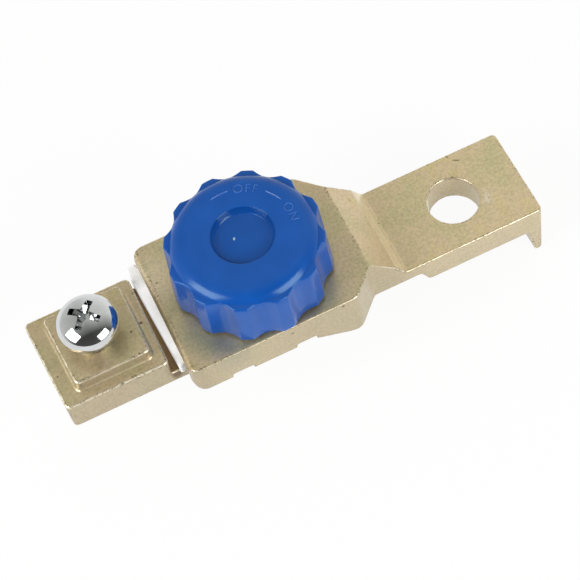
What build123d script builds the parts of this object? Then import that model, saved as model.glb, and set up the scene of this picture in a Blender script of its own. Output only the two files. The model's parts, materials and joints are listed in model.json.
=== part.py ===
"""Battery terminal disconnect switch: a lug casting that bolts to a battery, a cable bar
insulated from it, and a knob whose threaded stud bridges or breaks the two.

Millimetres, +Z up. The origin is on the battery bolt hole's axis, at the seat under the lug.
+X points to the lug's outer end, and -X to the cable bar.
"""
import os
from math import pi, radians, tan

from build123d import *

# Battery lug
bolt_hole_diameter = 12.3
lug_width = 24.2
lug_thickness = 3.9
lug_reach = 17.2            # bolt hole's axis to the lug's outer face
seat_height = 3.95          # seat pad below the lug's thin part
seat_reach = 12.6           # bolt hole's axis to the seat pad's inner end
seat_ramp = 1.9
lip_drop = 9.15             # hook lip below the seat
lip_root = 3.7
lip_tip = 2.2

# Joggle, the step from the lug up to the tray
joggle_foot = 18.1          # bolt hole's axis to the foot of the step
joggle_run = 8.5
joggle_knee_run = 6.0
joggle_knee_drop = 6.1

# Tray, the upside-down channel under the knob
tray_rise = 10.05           # tray top above the lug's top
tray_length = 47.0
tray_width = 36.1
tray_depth = 9.75
tray_wall = 3.0
tray_web = 3.0
end_wall = 5.2              # solid end of the tray, at its top
end_wall_ramp = 9.0         # the walls' lower edge runs down to the lug's underside here
end_wall_foot = 8.2         # from the tray top's end to the foot of that ramp
notch_width = 5.2
notch_height = 1.2
notch_setbacks = (11.7, 27.7)   # tray's open end to each notch's middle
tray_corner = 2.6
tray_heel = 3.5             # rounding of the walls' lower open corners
tray_nose = 1.5             # rounding of the top's open edge

# Cable bar
block_height = 9.15
block_gap = 3.1             # cable block to the tray's open end
bar_width = 24.9
outer_skew = 1.25           # the outer end runs out of square by this much
pad_margin = 2.9            # ledge around the raised pad, at the sides
pad_setback = 4.4           # block's outer end to the pad
pad_length = 19.1
pad_inset = 2.6             # pad to the block's inner end
pad_height = 3.45
tongue_thickness = 3.9
boss_drop = 2.0             # threaded boss below the tongue
boss_radius = 7.0

# Insulator
insulator_web = 3.05
insulator_cheek = 2.3
insulator_overhang = 1.35   # beyond the tray's open end, at the near side
insulator_skew = 1.3        # further out at the far side
insulator_flare = 1.3       # far cheek's end flares out beyond the tray's inside
insulator_lift = 0.4        # cheeks stop short of the bar's underside
near_cutback = 3.0          # near cheek starts this far inside the tray
sleeve_wall = 1.0
sleeve_recess = 0.4         # sleeve's top below the tray's top

# Knob and its contact stud
knob_setback = 23.9         # tray top's end to the knob's axis
knob_radius = 18.65         # at the lobes' tips, at the rim
knob_draft = 2.7            # degrees, the sides lean in upwards
knob_gap = 0.95             # rim above the tray
knob_height = 14.4
knob_shoulder_height = 12.55
knob_crown_setback = 2.05   # crown's edge inside the lobes' tips at the rim
knob_lobes = 12
lobe_depth = 1.3
lobe_base_share = 0.73      # of the spacing between lobes
lobe_tip_share = 0.43
lobe_phase = 3.8            # degrees from +X to the first lobe
crown_rounding = 1.6
dish_radius = 7.3
dish_floor_radius = 6.4
dish_depth = 1.2
hub_radius = 10.5
hub_clearance = 0.35        # hub's underside above the contact washer
core_height = 8.6
core_wall = 2.3
core_ribs = 6
core_rib_thickness = 1.6

stud_radius = 5.0
stud_thread_pitch = 1.5
stud_turns = 2.0
stud_collar_radius = 8.0
stud_collar_height = 2.0
stud_hex_flats = 12.0
stud_hex_height = 7.0
stud_hex_groove = 0.8       # depth of the groove that locks the head in the knob
stud_hex_groove_width = 1.8
stud_tail = 1.2             # stud beyond the retaining ring
groove_radius = 4.1
ring_radius = 6.3
ring_thickness = 1.0
ring_opening = 70.0         # degrees
stop_gap = 0.2              # ring to boss with the knob fully undone
washer_radius = 8.6
washer_thickness = 1.2
washer_chamfer = 0.2

# Fasteners
terminal_screw_radius = 4.0
terminal_head_radius = 7.05
terminal_head_height = 5.7
terminal_head_rim = 1.2
terminal_head_lift = 4.7    # head above the pad, backed off to take a cable ring
terminal_screw_reach = 15.9 # shank below the head
terminal_screw_setback = 13.4   # block's outer end to the screw's axis
joining_screw_radius = 2.0
joining_head_radius = 3.4
joining_head_height = 2.2
joining_offset = 10.8       # from the knob's axis, along the tray
joining_tip_recess = 0.3
bush_wall = 0.75
bush_flange_radius = 3.9
bush_flange_thickness = 0.8
flat_washer_radius = 3.9
flat_washer_thickness = 0.5
recess_width = 0.22         # cross recess arm, as a share of the head's radius
recess_span = 0.95          # cross recess, tip to tip, as a share of the head's radius
recess_depth = 0.55         # cross recess, as a share of the head's height
recess_taper = 12.0         # degrees

# Fits and edges
thread_gap = 0.05
part_gap = 0.1
loose_gap = 0.3
edge_rounding = 0.4
soft_rounding = 0.8
core_rounding = 1.2

# Levels
lug_under = seat_height
lug_top = lug_under + lug_thickness
tray_top = lug_top + tray_rise
web_under = tray_top - tray_web
wall_under = tray_top - tray_depth
tongue_top = web_under - insulator_web
bar_under = tongue_top - tongue_thickness
boss_under = bar_under - boss_drop
block_top = bar_under + block_height
pad_top = block_top + pad_height
cheek_under = bar_under + insulator_lift
washer_top = tray_top + washer_thickness
collar_top = washer_top + stud_collar_height
knob_under = tray_top + knob_gap
knob_top = knob_under + knob_height
knob_shoulder = knob_under + knob_shoulder_height
knob_lift = stud_thread_pitch * stud_turns
ring_top = boss_under - knob_lift - stop_gap
ring_under = ring_top - ring_thickness
stud_under = ring_under - stud_tail
terminal_head_under = pad_top + terminal_head_lift

# Knob outline and block length
knob_root_radius = knob_radius - lobe_depth
knob_crown_radius = knob_radius - knob_crown_setback
knob_shoulder_radius = knob_radius - knob_shoulder_height * tan(radians(knob_draft))
lobe_spacing = 2 * pi * knob_root_radius / knob_lobes
lobe_base = lobe_base_share * lobe_spacing
lobe_tip = lobe_tip_share * lobe_spacing
block_length = pad_setback + pad_length + pad_inset

# Places along X
joggle_head = -joggle_foot - joggle_run
tray_end = joggle_head - tray_length
cavity_end = joggle_head - end_wall
knob_x = joggle_head - knob_setback
block_end = tray_end - block_gap
bar_end = block_end - block_length
pad_start = bar_end + pad_setback
insulator_end = tray_end - insulator_overhang
near_cheek_end = tray_end + near_cutback
insulator_foot = cavity_end - part_gap
tongue_end = insulator_foot - insulator_cheek - part_gap
terminal_x = bar_end + terminal_screw_setback
joining_places = {"left": knob_x - joining_offset, "right": knob_x + joining_offset}

# Places along Y
lug_side = lug_width / 2
tray_side = tray_width / 2
cavity_side = tray_side - tray_wall
bar_side = bar_width / 2
pad_side = bar_side - pad_margin
pad_skew = outer_skew * pad_side / bar_side
insulator_side = cavity_side - part_gap
channel_side = bar_side + part_gap
sleeve_bore = stud_radius + loose_gap
sleeve_radius = sleeve_bore + sleeve_wall
bush_bore = joining_screw_radius + thread_gap
bush_radius = bush_bore + bush_wall

os.makedirs("parts", exist_ok=True)


def level(height, x=0.0):
    """A horizontal work plane at a height, over a point of the X axis."""
    return Plane.XY.offset(height).shift_origin((x, 0, height))


def cross_recess(head_top, head_height, radius, x, facing):
    """The cross-shaped drive recess of a screw, cut into the current part."""
    arm = recess_span * radius
    with BuildSketch(level(head_top, x)) as cross:
        Rectangle(arm, recess_width * radius)
        Rectangle(recess_width * radius, arm)
    depth = -facing * recess_depth * head_height
    extrude(cross.sketch, amount=depth, taper=recess_taper, mode=Mode.SUBTRACT)


def lobed_outline(height, radius):
    """The grip's outline at a height: a circle with lobes, every corner rounded."""
    root_radius = radius - lobe_depth
    with BuildSketch(level(height, knob_x)) as outline:
        Circle(root_radius)
        with PolarLocations(0, knob_lobes, start_angle=lobe_phase):
            Polygon(
                (root_radius - core_rounding, -lobe_base / 2),
                (radius, -lobe_tip / 2),
                (radius, lobe_tip / 2),
                (root_radius - core_rounding, lobe_base / 2),
                align=None,
            )
        fillet(outline.vertices(), soft_rounding)
    return outline.sketch


# Lug casting: hook lip, seat pad, lug, joggle and tray, cast in one piece
side_outline = [
    ((tray_end, wall_under), tray_heel),
    ((tray_end, tray_top), tray_nose),
    ((joggle_head, tray_top), soft_rounding),
    ((joggle_head + joggle_knee_run, tray_top - joggle_knee_drop), core_rounding),
    ((-joggle_foot, lug_top), soft_rounding),
    ((lug_reach, lug_top), edge_rounding),
    ((lug_reach, -lip_drop), soft_rounding),
    ((lug_reach - lip_tip, -lip_drop), soft_rounding),
    ((lug_reach - lip_root, 0), soft_rounding),
    ((-seat_reach, 0), core_rounding),
    ((-seat_reach - seat_ramp, lug_under), core_rounding),
    ((joggle_head - end_wall_foot, lug_under), tray_heel),
    ((joggle_head - end_wall_foot - end_wall_ramp, wall_under), tray_heel),
]
corner_cut = tray_side - lug_side
plan_outline = [
    ((tray_end, -tray_side), tray_corner),
    ((joggle_head - corner_cut, -tray_side), tray_corner),
    ((joggle_head, -lug_side), core_rounding),
    ((lug_reach, -lug_side), core_rounding),
    ((lug_reach, lug_side), core_rounding),
    ((joggle_head, lug_side), core_rounding),
    ((joggle_head - corner_cut, tray_side), tray_corner),
    ((tray_end, tray_side), tray_corner),
]

with BuildPart() as lug_casting:
    with BuildSketch(Plane.XZ):
        with BuildLine():
            FilletPolyline(
                *[point for point, _ in side_outline],
                radius=[rounding for _, rounding in side_outline],
                close=True,
            )
        make_face()
    extrude(amount=tray_side, both=True)
    with BuildSketch(level(-lip_drop)):
        with BuildLine():
            FilletPolyline(
                *[point for point, _ in plan_outline],
                radius=[rounding for _, rounding in plan_outline],
                close=True,
            )
        make_face()
    extrude(amount=lip_drop + tray_top, mode=Mode.INTERSECT)
    with BuildSketch(level(web_under)):
        with Locations(((tray_end - tray_nose + cavity_end) / 2, 0)):
            Rectangle(cavity_end - tray_end + tray_nose, 2 * cavity_side)
    extrude(amount=lug_under - web_under - part_gap, mode=Mode.SUBTRACT)
    with BuildSketch(level(wall_under)):
        with Locations(*[(tray_end + setback, 0) for setback in notch_setbacks]):
            Rectangle(notch_width, tray_width)
    extrude(amount=notch_height, mode=Mode.SUBTRACT)
    with Locations((knob_x, 0, tray_top)):
        Hole(radius=sleeve_radius + part_gap, depth=tray_web)
    with Locations(*[(x, 0, tray_top) for x in joining_places.values()]):
        Hole(radius=joining_screw_radius + thread_gap, depth=tray_web)
    with Locations((0, 0, lug_top)):
        Hole(radius=bolt_hole_diameter / 2, depth=lug_top)
lug_casting.part.label = "lug_casting"
export_step(lug_casting.part, "parts/lug_casting.step")

# Cable bar: clamping block with a raised pad, and the tongue that runs under the tray
with BuildPart() as cable_bar:
    with BuildSketch(level(bar_under)) as block_outline:
        Polygon(
            (bar_end, bar_side),
            (bar_end + outer_skew, -bar_side),
            (block_end, -bar_side),
            (block_end, bar_side),
            align=None,
        )
        fillet(block_outline.vertices(), core_rounding)
    extrude(amount=block_height)
    fillet(cable_bar.faces().sort_by(Axis.Z)[-1].edges(), edge_rounding)
    with BuildSketch(level(block_top)) as pad_outline:
        Polygon(
            (pad_start, pad_side),
            (pad_start + pad_skew, -pad_side),
            (pad_start + pad_length, -pad_side),
            (pad_start + pad_length, pad_side),
            align=None,
        )
        fillet(pad_outline.vertices(), core_rounding)
    extrude(amount=pad_height)
    fillet(cable_bar.faces().sort_by(Axis.Z)[-1].edges(), edge_rounding)
    pad_root = [
        edge
        for edge in cable_bar.edges()
        if abs(edge.center().Z - block_top) < part_gap and abs(edge.center().Y) < pad_side + part_gap
        and pad_start - part_gap < edge.center().X < pad_start + pad_length + part_gap
    ]
    fillet(pad_root, soft_rounding)
    with BuildSketch(level(bar_under)):
        with Locations(((block_end - core_rounding + tongue_end) / 2, 0)):
            Rectangle(tongue_end - block_end + core_rounding, bar_width)
    extrude(amount=tongue_thickness)
    with BuildSketch(level(bar_under, knob_x)):
        Circle(boss_radius)
    extrude(amount=-boss_drop)
    with Locations((knob_x, 0, tongue_top)):
        Hole(radius=stud_radius + thread_gap, depth=tongue_thickness + boss_drop)
    with Locations(*[(x, 0, tongue_top) for x in joining_places.values()]):
        Hole(radius=bush_radius + thread_gap, depth=tongue_thickness)
    with Locations((terminal_x, 0, pad_top)):
        Hole(radius=terminal_screw_radius + thread_gap, depth=pad_top - bar_under)
cable_bar.part.label = "cable_bar"
export_step(cable_bar.part, "parts/cable_bar.step")

# Insulator: a nylon channel between the tongue and the tray, with a sleeve around the stud
with BuildPart() as insulator_channel:
    with BuildSketch(level(cheek_under)) as channel_outline:
        Polygon(
            (insulator_foot, -insulator_side),
            (insulator_foot, insulator_side),
            (tray_end - part_gap, insulator_side),
            (tray_end - part_gap, insulator_side + insulator_flare),
            (insulator_end - insulator_skew, insulator_side + insulator_flare),
            (insulator_end, -channel_side),
            (near_cheek_end, -channel_side),
            (near_cheek_end, -insulator_side),
            align=None,
        )
        fillet(channel_outline.vertices().sort_by(Axis.X)[0], soft_rounding)
    extrude(amount=web_under - cheek_under)
    with BuildSketch(level(cheek_under)):
        with Locations((tongue_end + part_gap, 0)):
            Rectangle(
                tongue_end - insulator_end + insulator_skew + 2 * part_gap,
                2 * channel_side,
                align=(Align.MAX, Align.CENTER),
            )
    extrude(amount=tongue_top - cheek_under, mode=Mode.SUBTRACT)
    with BuildSketch(level(web_under, knob_x)):
        Circle(sleeve_radius)
    extrude(amount=tray_web - sleeve_recess)
    with Locations((knob_x, 0, tray_top)):
        Hole(radius=sleeve_bore, depth=tray_top - tongue_top)
    with Locations(*[(x, 0, web_under) for x in joining_places.values()]):
        Hole(radius=bush_bore, depth=insulator_web)
insulator_channel.part.label = "insulator_channel"
export_step(insulator_channel.part, "parts/insulator_channel.step")

# Joining screws: each holds the tongue up against the tray, in an insulating bush
flange_under = bar_under - bush_flange_thickness
head_top = flange_under - flat_washer_thickness
head_under = head_top - joining_head_height
for side, x in joining_places.items():
    with BuildPart() as insulating_bush:
        with BuildSketch(level(bar_under, x)):
            Circle(bush_radius)
        extrude(amount=tongue_thickness)
        with BuildSketch(level(bar_under, x)):
            Circle(bush_flange_radius)
        extrude(amount=-bush_flange_thickness)
        with Locations((x, 0, tongue_top)):
            Hole(radius=bush_bore, depth=tongue_top - flange_under)
        if abs(x - knob_x) - bush_flange_radius < boss_radius + part_gap:
            with BuildSketch(level(flange_under, knob_x)):
                Circle(boss_radius + part_gap)
            extrude(amount=bush_flange_thickness, mode=Mode.SUBTRACT)
    insulating_bush.part.label = f"insulating_bush_{side}"
    export_step(insulating_bush.part, f"parts/insulating_bush_{side}.step")

    with BuildPart() as flat_washer:
        with BuildSketch(level(flange_under, x)):
            Circle(flat_washer_radius)
            Circle(joining_screw_radius + part_gap, mode=Mode.SUBTRACT)
        extrude(amount=-flat_washer_thickness)
        if abs(x - knob_x) - flat_washer_radius < boss_radius + part_gap:
            with BuildSketch(level(head_top, knob_x)):
                Circle(boss_radius + part_gap)
            extrude(amount=flat_washer_thickness, mode=Mode.SUBTRACT)
    flat_washer.part.label = f"flat_washer_{side}"
    export_step(flat_washer.part, f"parts/flat_washer_{side}.step")

    with BuildPart() as joining_screw:
        with BuildSketch(level(head_top, x)):
            Circle(joining_head_radius)
        extrude(amount=-joining_head_height)
        fillet(joining_screw.faces().sort_by(Axis.Z)[0].edges(), soft_rounding)
        with BuildSketch(level(head_top, x)):
            Circle(joining_screw_radius)
        extrude(amount=tray_top - joining_tip_recess - head_top)
        cross_recess(head_under, joining_head_height, joining_head_radius, x, -1)
    joining_screw.part.label = f"joining_screw_{side}"
    export_step(joining_screw.part, f"parts/joining_screw_{side}.step")

# Terminal screw: a domed cross-recess screw, backed off as it is to take a cable ring
terminal_head_top = terminal_head_under + terminal_head_height
with BuildPart() as terminal_screw:
    with BuildSketch(Plane.XZ.shift_origin((terminal_x, 0, 0))):
        with BuildLine():
            rim_top = (terminal_head_radius, terminal_head_under + terminal_head_rim)
            Polyline(
                (0, terminal_head_top),
                (0, terminal_head_under - terminal_screw_reach),
                (terminal_screw_radius, terminal_head_under - terminal_screw_reach),
                (terminal_screw_radius, terminal_head_under),
                (terminal_head_radius, terminal_head_under),
                rim_top,
            )
            EllipticalCenterArc(
                (0, rim_top[1]),
                terminal_head_radius,
                terminal_head_height - terminal_head_rim,
                start_angle=0,
                arc_size=90,
            )
        make_face()
    revolve(axis=Axis((terminal_x, 0, 0), (0, 0, 1)))
    chamfer(terminal_screw.faces().sort_by(Axis.Z)[0].edges(), soft_rounding)
    cross_recess(terminal_head_top, terminal_head_height, terminal_head_radius, terminal_x, 1)
terminal_screw.part.label = "terminal_screw"
export_step(terminal_screw.part, "parts/terminal_screw.step")

# Contact washer: rides loose on the stud, under its collar
with BuildPart() as contact_washer:
    with BuildSketch(level(tray_top, knob_x)):
        Circle(washer_radius)
        Circle(stud_radius + loose_gap, mode=Mode.SUBTRACT)
    extrude(amount=washer_thickness)
    outer_rims = contact_washer.edges().filter_by(GeomType.CIRCLE).sort_by(SortBy.RADIUS)[-2:]
    chamfer(outer_rims, washer_chamfer)
contact_washer.part.label = "contact_washer"
export_step(contact_washer.part, "parts/contact_washer.step")

# Contact stud: hex head moulded into the knob, contact collar and threaded shank
with BuildPart() as contact_stud:
    with BuildSketch(level(collar_top, knob_x)):
        RegularPolygon(stud_hex_flats / 2, 6, major_radius=False)
    extrude(amount=stud_hex_height)
    with BuildSketch(level(collar_top + stud_hex_height / 2, knob_x)):
        Circle(stud_collar_radius)
        Circle(stud_hex_flats / 2 - stud_hex_groove, mode=Mode.SUBTRACT)
    extrude(amount=stud_hex_groove_width / 2, both=True, mode=Mode.SUBTRACT)
    with BuildSketch(level(washer_top, knob_x)):
        Circle(stud_collar_radius)
    extrude(amount=stud_collar_height)
    with BuildSketch(level(stud_under, knob_x)):
        Circle(stud_radius)
    extrude(amount=washer_top - stud_under)
    chamfer(contact_stud.faces().sort_by(Axis.Z)[0].edges(), stud_tail / 2)
    with BuildSketch(level(ring_under, knob_x)):
        Circle(stud_radius)
        Circle(groove_radius, mode=Mode.SUBTRACT)
    extrude(amount=ring_thickness, mode=Mode.SUBTRACT)
contact_stud.part.label = "contact_stud"
export_step(contact_stud.part, "parts/contact_stud.step")

# Retaining ring: stops the stud from leaving the bar
with BuildPart() as stud_retaining_ring:
    with BuildSketch(level(ring_under, knob_x)):
        Circle(ring_radius)
        Circle(groove_radius + thread_gap, mode=Mode.SUBTRACT)
        with BuildLine():
            opening = 2 * ring_radius
            start = PolarLine((0, 0), opening, angle=-ring_opening / 2)
            end = PolarLine((0, 0), opening, angle=ring_opening / 2)
            Line(start @ 1, end @ 1)
        make_face(mode=Mode.SUBTRACT)
    extrude(amount=ring_thickness)
stud_retaining_ring.part.label = "stud_retaining_ring"
export_step(stud_retaining_ring.part, "parts/stud_retaining_ring.step")

# Knob: a lobed grip with a smooth crown and a dish, moulded around the stud's head
with BuildPart() as knob_body:
    rim_outline = lobed_outline(knob_under, knob_radius)
    shoulder_outline = lobed_outline(knob_shoulder, knob_shoulder_radius)
    loft([rim_outline, shoulder_outline], ruled=True)
    fillet(knob_body.faces().sort_by(Axis.Z)[-1].edges(), edge_rounding)
    with BuildSketch(level(knob_shoulder, knob_x)):
        Circle(knob_crown_radius)
    extrude(amount=knob_top - knob_shoulder)
    fillet(knob_body.faces().sort_by(Axis.Z)[-1].edges(), crown_rounding)
    with BuildSketch(level(knob_top, knob_x)):
        Circle(dish_radius)
    with BuildSketch(level(knob_top - dish_depth, knob_x)):
        Circle(dish_floor_radius)
    loft(mode=Mode.SUBTRACT)
    with BuildSketch(level(knob_under, knob_x)):
        Circle(hub_radius)
    extrude(amount=washer_top + hub_clearance - knob_under, mode=Mode.SUBTRACT)
    with BuildSketch(level(knob_under, knob_x)):
        Circle(knob_root_radius - core_wall)
        Circle(hub_radius, mode=Mode.SUBTRACT)
        with PolarLocations(0, core_ribs // 2):
            Rectangle(2 * knob_root_radius, core_rib_thickness, mode=Mode.SUBTRACT)
    extrude(amount=core_height, mode=Mode.SUBTRACT)
    add(contact_stud.part, mode=Mode.SUBTRACT)
knob_body.part.label = "knob_body"
export_step(knob_body.part, "parts/knob_body.step")

print("knob lift for full travel:", knob_lift, "mm")
print("lift per radian of turn:", stud_thread_pitch / (2 * pi) / 1000, "m")
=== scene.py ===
"""Looks of the battery terminal disconnect switch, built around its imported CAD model.

Metres, +Z up, in the CAD frame: the origin is on the battery bolt hole's axis, at the seat under
the lug, and the knob's axis is parallel to +Z.
"""

import json
from math import acos, cos, pi, radians, sin, sqrt

import bmesh
import bpy
import numpy
from mathutils import Matrix, Vector


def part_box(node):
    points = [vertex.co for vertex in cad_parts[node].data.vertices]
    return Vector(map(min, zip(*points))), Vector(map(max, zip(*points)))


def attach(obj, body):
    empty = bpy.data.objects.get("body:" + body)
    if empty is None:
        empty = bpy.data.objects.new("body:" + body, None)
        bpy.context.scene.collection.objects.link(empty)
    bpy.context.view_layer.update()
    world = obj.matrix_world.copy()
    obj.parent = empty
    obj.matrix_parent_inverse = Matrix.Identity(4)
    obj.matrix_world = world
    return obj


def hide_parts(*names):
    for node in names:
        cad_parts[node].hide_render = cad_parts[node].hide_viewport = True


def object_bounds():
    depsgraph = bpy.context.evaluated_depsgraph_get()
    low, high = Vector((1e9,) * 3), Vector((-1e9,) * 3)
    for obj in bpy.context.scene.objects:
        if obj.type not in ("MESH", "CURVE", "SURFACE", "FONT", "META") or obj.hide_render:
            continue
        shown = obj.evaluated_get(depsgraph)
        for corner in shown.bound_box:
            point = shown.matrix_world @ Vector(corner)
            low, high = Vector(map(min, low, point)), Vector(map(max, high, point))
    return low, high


MM = 0.001

# Camera, from a fit to the photograph's edges
CAMERA_AZIMUTH = radians(-12.3)
CAMERA_ELEVATION = radians(59.98)
CAMERA_ROLL = radians(-14.15)
CAMERA_DISTANCE = 439.9 * MM
CAMERA_TARGET = Vector((-43.9, -3.4, 7.85)) * MM
CAMERA_LENS = 118.2           # like the sensor's width, in millimetres as Blender has it
CAMERA_SENSOR = 36
CAMERA_CLIP = 0.01

# Floor and soft boxes
FLOOR_HALF = 1.5
FLOOR_WHITENESS = 0.93        # share of plain white in what is seen of it. The rest takes the shadow
SOFT_BOX_DISTANCE = 0.75
SOFT_BOX_SIZE = 0.47
SOFT_BOX_POWER = 4.4

# Knob
KNOB_STEPS = 720
LOBES = 12
LOBE_PHASE = radians(3.8)
LOBE_DEPTH = 1.2 * MM
LOBE_HALF_TIP = radians(4.4)
LOBE_HALF_BASE = radians(13.0)
LOBE_FALL = 1.6               # power of the fall from tip to base
VALLEY_HOLLOW = 0.05          # share of the lobe's depth
GRIP_DRAFT = 0.047            # inward lean for each unit of height
GRIP_HEIGHT = 12.55 * MM
GRIP_EDGE = 0.45 * MM
CROWN_FLAT = 13.27 * MM       # radius of the flat top
CROWN_ROUND = 4.0 * MM        # radius of its rounding
DISH_RADIUS = 7.2 * MM
DISH_EDGE = 0.3 * MM
DISH_FLOOR_RADIUS = 6.3 * MM
DISH_CORNER = 0.15 * MM
DISH_RISE = 0.12 * MM         # of its floor, towards the middle
DISH_DEPTH = 1.4 * MM
HUB_RADIUS = 10.5 * MM
HUB_DEPTH = 0.6 * MM
STUD_COLLAR_RADIUS = 8.05 * MM
CORE_DEPTH = 8.6 * MM
CORE_WALL = 2.3 * MM
SLIVER = 0.15 * MM            # lean of the walls underneath, and half the rim's rounding
RIBS = 6
RIB_HALF_ANGLE = radians(3.6)
LETTER_RADIUS = 11.0 * MM     # foot of the letters
LETTER_HEIGHT = 2.2 * MM
LETTER_RELIEF = 0.14 * MM
LETTER_EDGE = 0.09 * MM
LETTER_SPACING = 1.15
CAPITAL_SHARE = 0.7           # a capital's height as a share of the font's size
STROKE_HALF_WIDTH = 0.22 * MM
STROKE_STEPS = 16
DISH_CENTRE = Vector((-50.5, 0.0, 31.95)) * MM
DISH_REACH = 7.7 * MM         # radius of the painted shade in it
GATE_CENTRE = Vector((-52.42, 0.71, 31.95)) * MM    # the moulding gate's scar, in the dish
GATE_TURN = radians(65)
GATE_LENGTH = 1.0 * MM
GATE_WIDTH = 0.6 * MM

# Insulator
NYLON_GLOW_REACH = 15 * MM    # half the width over which its painted glow shows
NEAR_END_REACH = 0.9 * MM     # how far its near end is drawn out past the CAD's
NEAR_END_START = 10.0 * MM
NEAR_END_BLEND = 2.5 * MM
TRAY_END_BLEND = 0.6 * MM

# Cable screw
HEAD_STEPS = 128
DOME_HEIGHT = 4.5 * MM
DOME_STEPS = 28
DOME_TIP = 0.1 * MM
HEAD_FILLET = 0.35 * MM
RECESS_REACH = 4.0 * MM
RECESS_HALF_WIDTH = 0.8 * MM
RECESS_DEPTH = 3.2 * MM
RECESS_TURN = radians(-42)
RECESS_EDGE = 0.2 * MM
RECESS_CLEARANCE = 1 * MM     # how far its cutter stands out of the dome
SHANK_RADIUS = 3.98 * MM
SHANK_OVERLAP = 0.2 * MM      # with the head
THREAD_PITCH = 1.25 * MM
THREAD_DEPTH = 0.62 * MM
THREAD_HALF_GROOVE = 0.42     # share of the pitch
THREAD_RUNOUT = 1.2 * MM
THREAD_STEPS = 48
THREAD_ROWS = 12              # for each pitch
TIP_LENGTH = 0.8 * MM
TIP_INSET = 0.7 * MM
SHANK_LENGTH = 15.9 * MM      # as in the CAD
HEAD_RIM = 1.2 * MM           # upright edge below the dome, as in the CAD

# Single pits and scratches that the photograph shows: centre, turn, length, width, darkness
CASTING_MARKS = (
    (Vector((-81.4, -3.2, 20.5)) * MM, 0.0, 0.7 * MM, 0.6 * MM, 0.9),
    (Vector((-71.3, 7.2, 17.9)) * MM, 0.0, 0.6 * MM, 0.5 * MM, 0.8),
    (Vector((-73.2, 2.7, 17.8)) * MM, 0.0, 0.5 * MM, 0.45 * MM, 0.8),
    (Vector((-88.0, -12.3, 17.0)) * MM, 0.3, 0.9 * MM, 0.6 * MM, 0.7),
    (Vector((-100.4, -3.8, 17.1)) * MM, 0.3, 0.7 * MM, 0.5 * MM, 0.7),
    (Vector((-18.1, 2.7, 7.9)) * MM, 0.0, 0.6 * MM, 0.5 * MM, 0.8),
    (Vector((5.7, 9.7, 7.8)) * MM, radians(-31), 2.3 * MM, 0.4 * MM, 0.8),
    (Vector((4.2, 11.6, 7.8)) * MM, radians(-65), 1.3 * MM, 0.35 * MM, 0.6),
)
# The scuff on the lug: centre, turn, length, width
SCUFF = (Vector((7.4, -3.0, 7.8)) * MM, radians(62), 8.0 * MM, 3.2 * MM)
# Painted shadow and reflection of the knob in front of it, painted light on the tray's far end, and painted
# shade in the groove between the cable block and the insulator: centre, turn, length, width, softness, tint
PAINTED_SHADE_AND_LIGHT_SPOTS = (
    (Vector((-65.6, -13.2, 17.9)) * MM, radians(-48), 22 * MM, 11 * MM, 0.9, (0.60, 0.69, 0.78)),
    (Vector((-71.5, 9.0, 17.9)) * MM, pi / 2, 20 * MM, 11 * MM, 0.8, (1.38, 1.36, 1.50)),
    (Vector((-75.8, 0.0, 11.5)) * MM, pi / 2, 34 * MM, 5.0 * MM, 0.2, (0.40, 0.31, 0.22)),
)
# The casting's painted light varies between these two places, from the cable end to the lug
PAINTED_LIGHT_FROM = -100 * MM
PAINTED_LIGHT_TO = 10 * MM

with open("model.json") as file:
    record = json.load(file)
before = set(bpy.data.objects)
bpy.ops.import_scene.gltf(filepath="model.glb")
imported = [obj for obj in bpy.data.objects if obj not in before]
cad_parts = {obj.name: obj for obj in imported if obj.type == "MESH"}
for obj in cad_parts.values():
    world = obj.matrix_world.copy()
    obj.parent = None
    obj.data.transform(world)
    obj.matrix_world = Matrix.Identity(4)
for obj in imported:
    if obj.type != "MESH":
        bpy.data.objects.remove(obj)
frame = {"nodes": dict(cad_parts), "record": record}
cad_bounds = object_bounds()


# Meshes

def new_object(name, mesh, material, body, *nodes):
    """Links a mesh as a piece that stands for CAD nodes and rides on a body."""
    piece = bpy.data.objects.new(name, mesh)
    bpy.context.scene.collection.objects.link(piece)
    mesh.materials.clear()
    mesh.materials.append(material)
    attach(piece, body)
    if nodes:
        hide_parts(*nodes)
    return piece


def shade(mesh, sharp_angle=radians(32)):
    """Smooth shading that stays crisp over sharp edges."""
    mesh.shade_smooth()
    mesh.set_sharp_from_angle(angle=sharp_angle)


def helper(data):
    """An object that is in the scene only while its data is worked on."""
    holder = bpy.data.objects.new("helper", data)
    bpy.context.scene.collection.objects.link(holder)
    return holder


def baked(holder):
    """The mesh that a helper's data comes to with its modifiers. The helper goes."""
    bpy.context.view_layer.update()
    view = bpy.context.evaluated_depsgraph_get()
    mesh = bpy.data.meshes.new_from_object(holder.evaluated_get(view))
    bpy.data.objects.remove(holder)
    return mesh


def modified(mesh, kind, **settings):
    """The mesh that one modifier makes of another."""
    holder = helper(mesh)
    step = holder.modifiers.new(kind, kind)
    for key, value in settings.items():
        setattr(step, key, value)
    return baked(holder)


def coordinates(mesh, normals=False):
    """The mesh's vertex positions, or its vertex normals, as rows."""
    rows = numpy.empty(3 * len(mesh.vertices), "f")
    if normals:
        mesh.vertex_normals.foreach_get("vector", rows)
    else:
        mesh.vertices.foreach_get("co", rows)
    return rows.reshape(-1, 3)


def softened_mesh(node, voxel, passes, keep):
    """A CAD node's mesh with rounded edges and filled corners, thinned out to a share of its faces.

    Its rounding_depth attribute says in millimetres how far the smoothing moved each vertex: above 0 on
    outer edges, below 0 in inner corners.
    """
    crisp = modified(frame["nodes"][node].data, "REMESH", mode="VOXEL", voxel_size=voxel)
    soft = modified(crisp, "SMOOTH", factor=0.5, iterations=passes)
    moved = (coordinates(crisp) - coordinates(soft)) * coordinates(soft, normals=True)
    soft.attributes.new("rounding_depth", "FLOAT", "POINT").data.foreach_set("value", moved.sum(axis=1) / MM)
    mesh = modified(soft, "DECIMATE", decimate_type="COLLAPSE", ratio=keep)
    mesh.name = node + "_soft"
    mesh.shade_smooth()
    return mesh


def clamped(value):
    return min(max(value, 0), 1)


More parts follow.
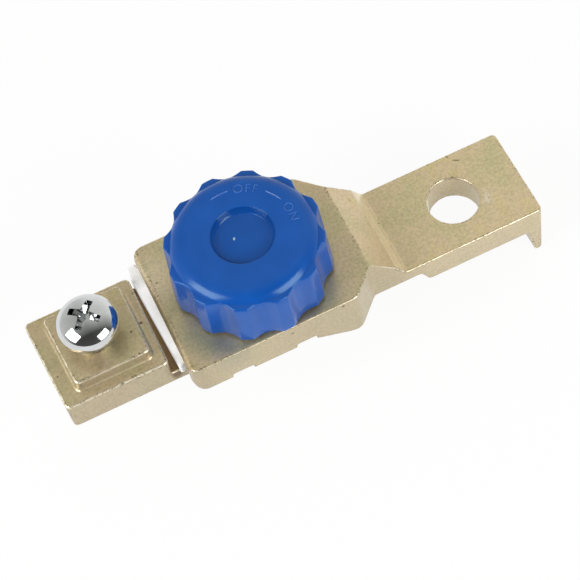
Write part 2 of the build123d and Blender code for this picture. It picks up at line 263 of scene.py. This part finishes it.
def draw_out_near_end(mesh, tray_end):
    """Draws the insulator's near end out, as far as it shows outside the tray."""
    for vertex in mesh.vertices:
        beyond = clamped((-vertex.co.y - NEAR_END_START) / NEAR_END_BLEND)
        outside = clamped((tray_end + TRAY_END_BLEND - vertex.co.x) / TRAY_END_BLEND)
        vertex.co.y -= NEAR_END_REACH * beyond * outside


def ring_surface(name, rings):
    """A closed surface through rings of points that run around the same axis, capped at both ends."""
    shape = bmesh.new()
    rows = [[shape.verts.new(point) for point in ring] for ring in rings]
    for low, high in zip(rows, rows[1:]):
        count = len(low)
        for i in range(count):
            j = (i + 1) % count
            shape.faces.new((low[i], low[j], high[j], high[i]))
    shape.faces.new(rows[0][::-1])
    shape.faces.new(rows[-1])
    bmesh.ops.recalc_face_normals(shape, faces=shape.faces)
    mesh = bpy.data.meshes.new(name)
    shape.to_mesh(mesh)
    shape.free()
    return mesh


def full_turn(steps):
    """Angles in equal steps all the way round."""
    return [2 * pi * i / steps for i in range(steps)]


def quarter_turn(steps):
    """Angles in equal steps from 0 to 90 degrees, both included."""
    return [pi / 2 * i / steps for i in range(steps + 1)]


def ring_points(x, y, height, radii):
    """Points around a vertical axis, one at each of the radii, in equal steps."""
    return [(x + radius * cos(angle), y + radius * sin(angle), height)
            for angle, radius in zip(full_turn(len(radii)), radii)]


def turned(profile, x, y, steps):
    """Rings of a profile of (radius, height) points, turned around a vertical axis."""
    return [ring_points(x, y, height, [radius] * steps) for radius, height in profile]


# Materials

def node_adder(nodes):
    """A short way to add a node. Its settings are properties, or inputs with _ for a space."""
    def add(kind, **settings):
        node = nodes.new("ShaderNode" + kind)
        for key, value in settings.items():
            if hasattr(node, key):
                setattr(node, key, value)
            else:
                node.inputs[key.replace("_", " ")].default_value = value
        return node

    return add


def node_tools(name):
    """A new material with its Principled shader, and short ways to add and link nodes."""
    material = bpy.data.materials.new(name)
    material.use_nodes = True
    nodes = material.node_tree.nodes
    return material, nodes["Principled BSDF"], node_adder(nodes), material.node_tree.links.new


def axes(add, link, vector):
    """A vector's parts, as outputs named X, Y and Z."""
    parts = add("SeparateXYZ")
    link(vector, parts.inputs[0])
    return parts.outputs


def share(add, link, value, low, high):
    """0 to 1 as a value goes from low to high."""
    span = add("MapRange", From_Min=low, From_Max=high)
    link(value, span.inputs["Value"])
    return span.outputs["Result"]


def noise(add, link, place, scale, detail, roughness):
    """Noise over the object's own coordinates, with features of about 1/scale metres."""
    texture = add("TexNoise", Scale=scale, Detail=detail, Roughness=roughness)
    link(place.outputs["Object"], texture.inputs["Vector"])
    return texture.outputs["Fac"]


def ramp(add, link, value, *stops):
    """A colour ramp over a value. Each stop is (position, colour)."""
    node = add("ValToRGB")
    elements = node.color_ramp.elements
    while len(elements) < len(stops):
        elements.new(0.5)
    for element, (position, colour) in zip(elements, stops):
        element.position = position
        element.color = (*colour, 1)
    link(value, node.inputs["Fac"])
    return node.outputs["Color"]


def grey(value):
    return (value, value, value)


def mix(add, link, factor, first, second, blend="MIX"):
    """Mixes two colours. Each is a socket or a plain colour, and the factor a socket or a number."""
    node = add("Mix", data_type="RGBA", blend_type=blend)
    for socket, value in ((node.inputs[0], factor), (node.inputs[6], first), (node.inputs[7], second)):
        if isinstance(value, bpy.types.NodeSocket):
            link(value, socket)
        elif isinstance(value, tuple):
            socket.default_value = (*value, 1)
        else:
            socket.default_value = value
    return node.outputs[2]


def bumps(add, link, shader, *layers):
    """Stacks bump layers of (height, depth in metres, strength) onto a shader's normal."""
    normal = None
    for height, depth, strength in layers:
        bump = add("Bump", Distance=depth, Strength=strength)
        link(height, bump.inputs["Height"])
        if normal:
            link(normal, bump.inputs["Normal"])
        normal = bump.outputs["Normal"]
    link(normal, shader.inputs["Normal"])


def rounding_share(add, link, low, high):
    """0 to 1 as a softened mesh's rounding_depth attribute goes from low to high."""
    rounding_depth = add("Attribute", attribute_name="rounding_depth")
    return share(add, link, rounding_depth.outputs["Fac"], low, high)


def mark(add, link, place, centre, turn, length, width, soft=0.35):
    """1 inside a flat oval on the surface and 0 outside it, with a soft rim."""
    span = add("Mapping", vector_type="TEXTURE", Location=centre, Rotation=(0, 0, turn),
               Scale=(length / 2, width / 2, width))
    link(place.outputs["Object"], span.inputs["Vector"])
    far = add("VectorMath", operation="LENGTH")
    link(span.outputs["Vector"], far.inputs[0])
    return ramp(add, link, far.outputs["Value"], (1 - soft, grey(1.0)), (1.0, grey(0.0)))


def plating_and_painted_light(add, link, place, facing):
    """Clouded dull yellow with painted shade on steep faces, a painted highlight on the lug's knee, and
    painted light and shade along the casting and in spots.
    """
    tint = ramp(add, link, noise(add, link, place, 95, 5, 0.6),
                (0.32, (0.70, 0.62, 0.36)), (0.44, (0.79, 0.66, 0.39)),
                (0.55, (0.85, 0.67, 0.43)), (0.66, (0.81, 0.67, 0.35)))
    # Painted shade: steep faces are painted darker
    steep = ramp(add, link, facing["Z"], (0.42, grey(0.75)), (0.72, grey(0.0)))
    tint = mix(add, link, steep, tint, (0.54, 0.46, 0.31))
    # Painted highlight on the lug's knee, the faces that lean towards +X
    knee = ramp(add, link, facing["X"], (0.76, grey(0.0)), (0.82, grey(1.0)),
                (0.88, grey(1.0)), (0.94, grey(0.0)))
    tint = mix(add, link, knee, tint, (1.0, 0.88, 0.62))
    # Painted light that varies along the casting, from the cable end to the lug
    along = share(add, link, axes(add, link, place.outputs["Object"])["X"], PAINTED_LIGHT_FROM, PAINTED_LIGHT_TO)
    painted_light_along = ramp(add, link, along, (0.0, grey(0.80)), (0.26, grey(0.78)),
                   (0.33, grey(0.95)), (0.50, grey(0.86)), (0.72, grey(0.86)), (0.80, grey(1.0)))
    tint = mix(add, link, 1.0, tint, painted_light_along, "MULTIPLY")
    fine = ramp(add, link, noise(add, link, place, 1500, 4, 0.65), (0.36, grey(0.79)), (0.60, grey(1.0)))
    colour = mix(add, link, 0.9, tint, fine, "MULTIPLY")
    # Spots of painted shade and painted light
    for centre, turn, length, width, soft, painted_tint in PAINTED_SHADE_AND_LIGHT_SPOTS:
        spot = mark(add, link, place, centre, turn, length, width, soft)
        colour = mix(add, link, spot, colour, painted_tint, "MULTIPLY")
    return colour


def scattered_pits(add, link, place):
    """1 in small pits, at a few of a cell pattern's points."""
    pits = add("TexVoronoi", Scale=230.0, Randomness=1.0)
    link(place.outputs["Object"], pits.inputs["Vector"])
    pit = ramp(add, link, pits.outputs["Distance"], (0.05, grey(1.0)), (0.12, grey(0.0)))
    chosen = ramp(add, link, pits.outputs["Color"], (0.80, grey(0.0)), (0.84, grey(1.0)))
    return mix(add, link, 1.0, pit, chosen, "MULTIPLY")


def edge_wear_and_painted_light(add, link, place, colour):
    """Painted shade in inner corners, grimy speckles beside the edges, and bare speckled metal on them,
    also painted lighter as an edge highlight.
    """
    # Painted shade in the inner corners
    colour = mix(add, link, rounding_share(add, link, -0.03, -0.09), colour, (0.34, 0.25, 0.14))
    speckle = ramp(add, link, noise(add, link, place, 1900, 4, 0.7), (0.38, grey(0.0)), (0.50, grey(1.0)))
    patches = ramp(add, link, noise(add, link, place, 210, 2, 0.5), (0.42, grey(0.15)), (0.58, grey(1.0)))
    grime = mix(add, link, speckle, (0.15, 0.11, 0.065), colour)
    grimy = mix(add, link, 1.0, rounding_share(add, link, 0.004, 0.012), patches, "MULTIPLY")
    colour = mix(add, link, grimy, colour, grime)
    # Bare metal on the edges, painted lighter as an edge highlight too
    bare_and_highlit = mix(add, link, speckle, (0.34, 0.27, 0.16), (0.86, 0.79, 0.62))
    return mix(add, link, rounding_share(add, link, 0.03, 0.055), colour, bare_and_highlit)


def single_marks(add, link, place, colour):
    """The single pits and scratches, and the scuff on the lug."""
    for centre, turn, length, width, depth in CASTING_MARKS:
        colour = mix(add, link, mark(add, link, place, centre, turn, length, width), colour,
                     mix(add, link, depth, colour, (0.10, 0.075, 0.045)))
    scuffed = mark(add, link, place, *SCUFF, soft=0.9)
    grains = ramp(add, link, noise(add, link, place, 2600, 2, 0.5), (0.52, grey(0.0)), (0.60, grey(1.0)))
    scuffed = mix(add, link, 1.0, scuffed, grains, "MULTIPLY")
    return mix(add, link, scuffed, colour, (0.88, 0.82, 0.70))


def cast_metal():
    """Plated casting: dull yellow with green and pink tints, small pits, bare speckled edges that are also
    painted lighter as a highlight, and painted shade and light.
    """
    material, shader, add, link = node_tools("cast_metal")
    place = add("TexCoord")
    facing = axes(add, link, place.outputs["Normal"])
    pit = scattered_pits(add, link, place)
    colour = mix(add, link, pit, plating_and_painted_light(add, link, place, facing), (0.14, 0.10, 0.06))
    colour = edge_wear_and_painted_light(add, link, place, colour)
    link(single_marks(add, link, place, colour), shader.inputs["Base Color"])
    metallic = ramp(add, link, facing["Z"], (0.42, grey(0.5)), (0.72, grey(0.72)))
    link(metallic, shader.inputs["Metallic"])
    rough = ramp(add, link, noise(add, link, place, 260, 4, 0.6), (0.3, grey(0.29)), (0.7, grey(0.40)))
    link(rough, shader.inputs["Roughness"])
    bumps(add, link, shader,
          (noise(add, link, place, 120, 3, 0.5), 0.12 * MM, 0.5),
          (noise(add, link, place, 1500, 4, 0.6), 0.02 * MM, 0.6),
          (mix(add, link, 1.0, grey(1.0), pit, "DIFFERENCE"), 0.12 * MM, 0.8))
    return material


def blue_plastic():
    """Glossy moulded plastic with faint flow marks, painted shade in the dish and the gate's scar."""
    material, shader, add, link = node_tools("blue_plastic")
    place = add("TexCoord")
    flow = noise(add, link, place, 160, 3, 0.5)
    tint = ramp(add, link, flow, (0.3, (0.004, 0.069, 0.335)), (0.7, (0.006, 0.081, 0.38)))
    facing = axes(add, link, place.outputs["Normal"])
    # Painted shade in the dish: darker on its steep wall, less on its floor
    dish_shade = ramp(add, link, facing["Z"], (0.30, grey(0.66)), (0.97, grey(0.90)))
    dish = mark(add, link, place, DISH_CENTRE, 0.0, 2 * DISH_REACH, 2 * DISH_REACH, soft=0.06)
    tint = mix(add, link, dish, tint, mix(add, link, 1.0, tint, dish_shade, "MULTIPLY"))
    gate = mark(add, link, place, GATE_CENTRE, GATE_TURN, GATE_LENGTH, GATE_WIDTH, soft=0.5)
    link(mix(add, link, gate, tint, (0.37, 0.49, 0.62)), shader.inputs["Base Color"])
    link(ramp(add, link, noise(add, link, place, 700, 4, 0.6), (0.3, grey(0.16)), (0.7, grey(0.24))),
         shader.inputs["Roughness"])
    shader.inputs["Specular IOR Level"].default_value = 0.37
    shader.inputs["Specular Tint"].default_value = (0.72, 1.0, 0.95, 1)
    bumps(add, link, shader,
          (flow, 0.06 * MM, 0.4),
          (noise(add, link, place, 2200, 3, 0.6), 0.006 * MM, 0.5))
    return material


def raised_plastic():
    """The same plastic on its raised marks, where handling has dulled it, painted paler as a highlight."""
    material, shader, add, link = node_tools("raised_plastic")
    place = add("TexCoord")
    sheen_noise = noise(add, link, place, 900, 3, 0.5)
    # Painted highlight: the marks are painted paler than the knob
    link(ramp(add, link, sheen_noise, (0.35, (0.010, 0.088, 0.39)), (0.65, (0.034, 0.145, 0.48))),
         shader.inputs["Base Color"])
    shader.inputs["Roughness"].default_value = 0.35
    bumps(add, link, shader, (sheen_noise, 0.01 * MM, 0.5))
    return material


def white_nylon():
    """Natural moulded nylon, with a painted glow over its middle, so it stays white in the shade of the
    groove by the block.
    """
    material, shader, add, link = node_tools("white_nylon")
    place = add("TexCoord")
    link(ramp(add, link, noise(add, link, place, 300, 4, 0.6),
              (0.3, (0.95, 0.95, 0.97)), (0.7, (0.98, 0.98, 0.99))), shader.inputs["Base Color"])
    link(ramp(add, link, noise(add, link, place, 900, 3, 0.5), (0.3, grey(0.42)), (0.7, grey(0.55))),
         shader.inputs["Roughness"])
    # Painted glow: emission over the middle of its width, where the groove shades it
    across = share(add, link, axes(add, link, place.outputs["Object"])["Y"],
                   -NYLON_GLOW_REACH, NYLON_GLOW_REACH)
    glow = ramp(add, link, across, (0.08, grey(0.06)), (0.22, grey(0.48)),
                (0.80, grey(0.48)), (0.92, grey(0.04)))
    link(glow, shader.inputs["Emission Strength"])
    shader.inputs["Emission Color"].default_value = (0.96, 0.97, 1.0, 1)
    bumps(add, link, shader, (noise(add, link, place, 1100, 3, 0.6), 0.02 * MM, 0.5))
    return material


def bright_metal(name, low, high, smooth, rough, bump_scale, bump_depth):
    """Machined or plated metal: near-even colour, with fine marks in its gloss and surface."""
    material, shader, add, link = node_tools(name)
    place = add("TexCoord")
    link(ramp(add, link, noise(add, link, place, 500, 4, 0.6), (0.3, low), (0.7, high)),
         shader.inputs["Base Color"])
    shader.inputs["Metallic"].default_value = 1.0
    marks = noise(add, link, place, bump_scale, 3, 0.6)
    link(ramp(add, link, marks, (0.3, grey(smooth)), (0.7, grey(rough))), shader.inputs["Roughness"])
    bumps(add, link, shader, (marks, bump_depth, 0.5))
    return material


materials = {
    "cast_metal": cast_metal(),
    "blue_plastic": blue_plastic(),
    "raised_plastic": raised_plastic(),
    "white_nylon": white_nylon(),
    "chrome_screw": bright_metal("chrome_screw", (0.62, 0.635, 0.64), (0.70, 0.71, 0.715),
                                 0.03, 0.07, 900, 0.004 * MM),
    "zinc_steel": bright_metal("zinc_steel", (0.60, 0.61, 0.62), (0.70, 0.71, 0.73),
                               0.22, 0.38, 1500, 0.01 * MM),
    "turned_brass": bright_metal("turned_brass", (0.72, 0.55, 0.27), (0.80, 0.63, 0.34),
                                 0.18, 0.30, 1800, 0.01 * MM),
}


# Castings, insulation and small hardware: the CAD shapes with their edges rounded

FINENESS = {    # voxel, smoothing passes, share of the faces kept
    "lug_casting": (0.25 * MM, 6, 0.2),
    "cable_bar": (0.25 * MM, 11, 0.25),
    "insulator_channel": (0.2 * MM, 5, 0.15),
    "insulating_bush_left": (0.1 * MM, 2, 0.3),
    "insulating_bush_right": (0.1 * MM, 2, 0.3),
    "flat_washer_left": (0.1 * MM, 2, 0.3),
    "flat_washer_right": (0.1 * MM, 2, 0.3),
    "joining_screw_left": (0.1 * MM, 3, 0.3),
    "joining_screw_right": (0.1 * MM, 3, 0.3),
    "contact_washer": (0.1 * MM, 2, 0.2),
    "contact_stud": (0.12 * MM, 3, 0.2),
    "stud_retaining_ring": (0.1 * MM, 2, 0.3),
}
slots = {part["node"]: part["material_slot"] for part in frame["record"]["subparts"]}
body_of_node = {node: body for body, nodes in frame["record"]["behaviour"]["bodies"].items()
                for node in nodes}
for node, (voxel, passes, keep) in FINENESS.items():
    mesh = softened_mesh(node, voxel, passes, keep)
    if node == "insulator_channel":
        draw_out_near_end(mesh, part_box("lug_casting")[0].x)
    piece = new_object(node + "_finish", mesh, materials[slots[node]], body_of_node[node], node)


# Knob

knob_low, knob_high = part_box("knob_body")
knob_x, knob_y = (knob_low.x + knob_high.x) / 2, (knob_low.y + knob_high.y) / 2
grip_under, crown_top = knob_low.z, knob_high.z
grip_radius = (knob_high.x - knob_low.x + knob_high.y - knob_low.y) / 4
shoulder = grip_under + GRIP_HEIGHT
dish_floor = crown_top - DISH_DEPTH


def lobe_share(angle):
    """How far the outline stands out at an angle, from 0 in a hollow valley to 1 on a lobe's tip."""
    spacing = 2 * pi / LOBES
    off = abs((angle - LOBE_PHASE + spacing / 2) % spacing - spacing / 2)
    fall = clamped((off - LOBE_HALF_TIP) / (LOBE_HALF_BASE - LOBE_HALF_TIP))
    return (1 - fall) ** LOBE_FALL - VALLEY_HOLLOW * (off / LOBE_HALF_BASE) ** 2


def crown_height(radius):
    """The height of the knob's top at a radius."""
    out = max(radius - CROWN_FLAT, 0)
    return crown_top - CROWN_ROUND + sqrt(CROWN_ROUND ** 2 - out * out)


def grip_ring(height, inset=0.0):
    """The grip's lobed outline at a height, drawn in by an inset."""
    lean = GRIP_DRAFT * (height - grip_under)
    root = grip_radius - LOBE_DEPTH - lean - inset
    radii = [root + LOBE_DEPTH * lobe_share(angle) for angle in full_turn(KNOB_STEPS)]
    return ring_points(knob_x, knob_y, height, radii)


def core_ring(radius, height, rib_height=None):
    """A ring under the knob. Between the ribs it lies at a height, and at the ribs at their own."""
    ring = []
    for angle in full_turn(KNOB_STEPS):
        off = abs((angle + pi / RIBS) % (2 * pi / RIBS) - pi / RIBS)
        on_rib = rib_height is not None and off < RIB_HALF_ANGLE
        ring.append((knob_x + radius * cos(angle), knob_y + radius * sin(angle),
                     rib_height if on_rib else height))
    return ring


def underside_rings():
    """The knob from its stud collar over the hub, the core and its ribs, out to the rim."""
    core_radius = grip_radius - LOBE_DEPTH - CORE_WALL
    ceiling = grip_under + CORE_DEPTH
    hub_face = grip_under + HUB_DEPTH
    rib_face = grip_under + HUB_DEPTH / 2
    return [
        core_ring(STUD_COLLAR_RADIUS, grip_under + 3 * HUB_DEPTH),
        core_ring(STUD_COLLAR_RADIUS, hub_face),
        core_ring(HUB_RADIUS - SLIVER, hub_face),
        core_ring(HUB_RADIUS, rib_face),
        core_ring(HUB_RADIUS + SLIVER, ceiling, rib_face),
        core_ring(core_radius - 2 * SLIVER, ceiling, rib_face),
        core_ring(core_radius, rib_face),
        core_ring(core_radius + 2 * SLIVER, grip_under),
    ]


def grip_rings():
    """The lobed grip from its rounded lower edge up to its rounded shoulder."""
    rings = [grip_ring(grip_under + 2 * SLIVER * (1 - cos(angle)), 2 * SLIVER * (1 - sin(angle)))
             for angle in quarter_turn(4)]
    rings += [grip_ring(grip_under + GRIP_HEIGHT * part) for part in (0.2, 0.4, 0.6, 0.8)]
    rings += [grip_ring(shoulder - GRIP_EDGE * (1 - sin(angle)), GRIP_EDGE * (1 - cos(angle)))
              for angle in quarter_turn(5)]
    return rings


def crown_profile():
    """The knob's top as (radius, height), from the crown's lip over the dish to the middle."""
    lip_tilt = acos(1 - (crown_top - shoulder) / CROWN_ROUND)
    tilts = [lip_tilt * (1 - i / 16) for i in range(17)]
    profile = [(CROWN_FLAT + CROWN_ROUND * sin(tilt), crown_top - CROWN_ROUND * (1 - cos(tilt)))
               for tilt in tilts]
    profile += [(DISH_RADIUS + DISH_EDGE * (1 - sin(angle)), crown_top - DISH_EDGE * (1 - cos(angle)))
                for angle in quarter_turn(6)]
    profile += [(DISH_FLOOR_RADIUS + DISH_CORNER * (1 - sin(angle)),
                 dish_floor + DISH_CORNER * (1 - sin(angle)) ** 2) for angle in quarter_turn(4)]
    profile += [(DISH_FLOOR_RADIUS * part, dish_floor + DISH_RISE * (1 - part * part))
                for part in (0.8, 0.6, 0.4, 0.2, 0.05)]
    return profile


crown_rings = turned(crown_profile(), knob_x, knob_y, KNOB_STEPS)
knob_mesh = ring_surface("knob_grip", underside_rings() + grip_rings() + crown_rings)
shade(knob_mesh, radians(38))
knob = new_object("knob_grip", knob_mesh, materials["blue_plastic"], "knob", "knob_body")


def raised_mark(name, outline_mesh, middle_angle):
    """Bends a flat mark (x along the reading direction, y up) around the crown and stands it proud."""
    for vertex in outline_mesh.vertices:
        radius = LETTER_RADIUS + vertex.co.y
        angle = middle_angle - vertex.co.x / (LETTER_RADIUS + LETTER_HEIGHT / 2)
        vertex.co = (knob_x + radius * cos(angle), knob_y + radius * sin(angle),
                     crown_height(radius) + vertex.co.z)
    shade(outline_mesh)
    new_object(name, outline_mesh, materials["raised_plastic"], "knob")


def word_mesh(word):
    """A word's letters as a solid mesh centred on x = 0, its feet on y = 0."""
    text = bpy.data.curves.new(word, "FONT")
    text.body = word
    text.align_x = "CENTER"
    text.size = LETTER_HEIGHT / CAPITAL_SHARE
    text.space_character = LETTER_SPACING
    text.extrude = LETTER_RELIEF
    text.offset = -LETTER_EDGE
    text.bevel_depth = LETTER_EDGE
    text.bevel_resolution = 2
    text.resolution_u = 8
    mesh = baked(helper(text))
    for vertex in mesh.vertices:
        vertex.co.z -= LETTER_EDGE
    return mesh


def stroke_mesh(length):
    """A thin ridge with tapered ends, along x at the height of the letters' middle."""
    rings = []
    for i in range(STROKE_STEPS + 1):
        wide = STROKE_HALF_WIDTH * min(1, 4 * min(i, STROKE_STEPS - i) / STROKE_STEPS + 0.2)
        high = 0.6 * wide
        x = (i / STROKE_STEPS - 0.5) * length
        rings.append([(x, LETTER_HEIGHT / 2 + y, z) for y, z in
                      ((-wide, -LETTER_RELIEF), (wide, -LETTER_RELIEF), (wide, 0), (0.4 * wide, high),
                       (-0.4 * wide, high), (-wide, 0))])
    return ring_surface("stroke", rings)


raised_mark("letters_off", word_mesh("OFF"), radians(63))
raised_mark("letters_on", word_mesh("ON"), radians(1))
raised_mark("stroke_left", stroke_mesh(4.7 * MM), radians(92.5))
raised_mark("stroke_right", stroke_mesh(4.5 * MM), radians(31))


# Cable screw: domed head with a cross recess, and a threaded shank

screw_low, screw_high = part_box("terminal_screw")
screw_x, screw_y = (screw_low.x + screw_high.x) / 2, (screw_low.y + screw_high.y) / 2
head_radius = (screw_high.x - screw_low.x) / 2
head_under = screw_low.z + SHANK_LENGTH
rim_top = head_under + HEAD_RIM
dome_top = rim_top + DOME_HEIGHT


def dome_mesh():
    """The screw's head without its recess: flat below, filleted at its rim, and domed."""
    profile = [(0.4 * SHANK_RADIUS, head_under), (head_radius - HEAD_FILLET, head_under)]
    profile += [(head_radius - HEAD_FILLET * (1 - sin(angle)),
                 head_under + HEAD_FILLET * (1 - cos(angle))) for angle in quarter_turn(4)[1:]]
    profile += [(head_radius * cos(angle), rim_top + DOME_HEIGHT * sin(angle))
                for angle in quarter_turn(DOME_STEPS)[:-1]]
    profile += [(DOME_TIP, dome_top)]
    return ring_surface("cable_screw_head", turned(profile, screw_x, screw_y, HEAD_STEPS))


def cross_cutter():
    """A tapered cross that cuts the screw's recess, with bevelled corners between its arms."""
    bottom = dome_top - RECESS_DEPTH
    layers = []
    for height, reach_part, half_part in ((bottom, 0.42, 0.62),
                                          (bottom + 0.35 * RECESS_DEPTH, 0.80, 0.80),
                                          (dome_top + RECESS_CLEARANCE, 1.12, 1.25)):
        reach = reach_part * RECESS_REACH
        half = half_part * RECESS_HALF_WIDTH
        outline = []
        for quarter in range(4):
            turn = Matrix.Rotation(RECESS_TURN + quarter * pi / 2, 2)
            for x, y in ((reach, -half), (reach, half), (1.5 * half, half), (half, 1.5 * half)):
                spot = turn @ Vector((x, y))
                outline.append((screw_x + spot.x, screw_y + spot.y, height))
        layers.append(outline)
    return ring_surface("recess", layers)


def cut(mesh, cutter_mesh):
    """The mesh left when a cutter is taken out of another."""
    cutter = helper(cutter_mesh)
    result = modified(mesh, "BOOLEAN", operation="DIFFERENCE", object=cutter, solver="EXACT")
    bpy.data.objects.remove(cutter)
    return result


def shank_ring(height):
    """The threaded shank's outline at a height. Its thread runs out below the head."""
    runout = clamped((head_under - height) / THREAD_RUNOUT)
    tip = min(1, (height - screw_low.z) / TIP_LENGTH)
    radii = []
    for i in range(THREAD_STEPS):
        phase = (height / THREAD_PITCH - i / THREAD_STEPS) % 1
        groove = THREAD_DEPTH * max(0, 1 - abs(phase - 0.5) / THREAD_HALF_GROOVE) * runout
        radii.append(SHANK_RADIUS - groove - TIP_INSET * (1 - tip))
    return ring_points(screw_x, screw_y, height, radii)


head_mesh = cut(dome_mesh(), cross_cutter())
shade(head_mesh, radians(28))
head = new_object("cable_screw_head", head_mesh, materials["chrome_screw"], "castings", "terminal_screw")
rounded_edges = head.modifiers.new("edge", "BEVEL")
rounded_edges.width = RECESS_EDGE
rounded_edges.segments = 3
rounded_edges.limit_method = "ANGLE"
rounded_edges.angle_limit = radians(35)
rounded_edges.harden_normals = True

shank_rows = int((head_under - screw_low.z) / THREAD_PITCH * THREAD_ROWS)
shank_reach = head_under + SHANK_OVERLAP - screw_low.z
shank_rings = [shank_ring(screw_low.z + shank_reach * row / shank_rows) for row in range(shank_rows + 1)]
shank_mesh = ring_surface("cable_screw_shank", shank_rings)
shade(shank_mesh, radians(40))
shank = new_object("cable_screw_shank", shank_mesh, materials["chrome_screw"], "castings", "terminal_screw")


# Floor, light and camera

def pale_floor():
    """A pale floor that shows white to the camera and to metal, and still keeps a faint shadow."""
    material, shader, add, link = node_tools("pale_floor")
    shader.inputs["Base Color"].default_value = (0.85, 0.85, 0.85, 1)
    shader.inputs["Roughness"].default_value = 0.9
    path = add("LightPath")
    seen = path.outputs["Is Camera Ray"]
    for kind in ("Is Glossy Ray", "Is Transmission Ray"):
        either = add("Math", operation="MAXIMUM")
        link(seen, either.inputs[0])
        link(path.outputs[kind], either.inputs[1])
        seen = either.outputs[0]
    part = add("Math", operation="MULTIPLY")
    link(seen, part.inputs[0])
    part.inputs[1].default_value = FLOOR_WHITENESS
    white = add("Emission", Strength=1.0)
    blend = add("MixShader")
    link(part.outputs[0], blend.inputs[0])
    link(shader.outputs[0], blend.inputs[1])
    link(white.outputs[0], blend.inputs[2])
    output = next(node for node in material.node_tree.nodes if node.type == "OUTPUT_MATERIAL")
    link(blend.outputs[0], output.inputs["Surface"])
    return material


floor_mesh = bpy.data.meshes.new("floor")
floor_corners = [(FLOOR_HALF * x, FLOOR_HALF * y, cad_bounds[0][2])
                 for x, y in ((-1, -1), (1, -1), (1, 1), (-1, 1))]
floor_mesh.from_pydata(floor_corners, [], [(0, 1, 2, 3)])
floor_mesh.materials.append(pale_floor())
floor = bpy.data.objects.new("floor", floor_mesh)
bpy.context.scene.collection.objects.link(floor)

def studio_world():
    """White to the camera. To light and metal it is a pale room, palest at the horizon."""
    world = bpy.data.worlds.new("studio")
    world.use_nodes = True
    add = node_adder(world.node_tree.nodes)
    link = world.node_tree.links.new
    direction = axes(add, link, add("TexCoord").outputs["Generated"])
    colour = ramp(add, link, share(add, link, direction["Z"], -1.0, 1.0),
                  (0.50, (1.0, 1.0, 1.0)), (0.62, (0.92, 0.92, 0.90)),
                  (0.78, (0.78, 0.79, 0.75)), (1.0, (0.66, 0.68, 0.64)))
    # Darker behind the photographer, and lighter towards the lug's end
    for axis, dark, light in (("Y", (0.25, grey(0.12)), (0.62, grey(1.0))),
                              ("X", (0.47, grey(0.74)), (0.66, grey(1.0)))):
        side = ramp(add, link, share(add, link, direction[axis], -1.0, 1.0), dark, light)
        colour = mix(add, link, 1.0, colour, side, "MULTIPLY")
    seen = add("LightPath").outputs["Is Camera Ray"]
    background = world.node_tree.nodes["Background"]
    background.inputs["Strength"].default_value = 1.0
    link(mix(add, link, seen, colour, grey(1.0)), background.inputs["Color"])
    return world


def heading(azimuth, elevation):
    """A unit vector towards a compass azimuth (0 is +Y, 90 is +X) and elevation, in degrees."""
    return Vector((sin(radians(azimuth)) * cos(radians(elevation)),
                   cos(radians(azimuth)) * cos(radians(elevation)), sin(radians(elevation))))


def soft_box(name, azimuth, elevation):
    """A square area lamp that faces the middle of the object."""
    lamp = bpy.data.lights.new(name, "AREA")
    lamp.shape = "SQUARE"
    lamp.size = SOFT_BOX_SIZE
    lamp.energy = SOFT_BOX_POWER
    holder = bpy.data.objects.new(name, lamp)
    away = heading(azimuth, elevation)
    holder.location = CAMERA_TARGET + away * SOFT_BOX_DISTANCE
    holder.rotation_mode = "QUATERNION"
    holder.rotation_quaternion = away.to_track_quat("Z", "Y")
    scene.collection.objects.link(holder)


scene = bpy.context.scene
scene.view_settings.view_transform = "Standard"
scene.world = studio_world()
soft_box("soft_box_left", -98, 33)
soft_box("soft_box_right", 150, 24)

camera_data = bpy.data.cameras.new("camera")
camera_data.sensor_width = CAMERA_SENSOR
camera_data.lens = CAMERA_LENS
camera_data.clip_start = CAMERA_CLIP
camera = bpy.data.objects.new("camera", camera_data)
back = Vector((sin(CAMERA_AZIMUTH) * cos(CAMERA_ELEVATION),
               -cos(CAMERA_AZIMUTH) * cos(CAMERA_ELEVATION), sin(CAMERA_ELEVATION)))
right = Vector((cos(CAMERA_AZIMUTH), sin(CAMERA_AZIMUTH), 0))
upright = Matrix((right, back.cross(right), back)).transposed()
camera.rotation_mode = "QUATERNION"
camera.rotation_quaternion = (upright @ Matrix.Rotation(CAMERA_ROLL, 3, "Z")).to_quaternion()
camera.location = CAMERA_TARGET + back * CAMERA_DISTANCE
scene.collection.objects.link(camera)
scene.camera = camera
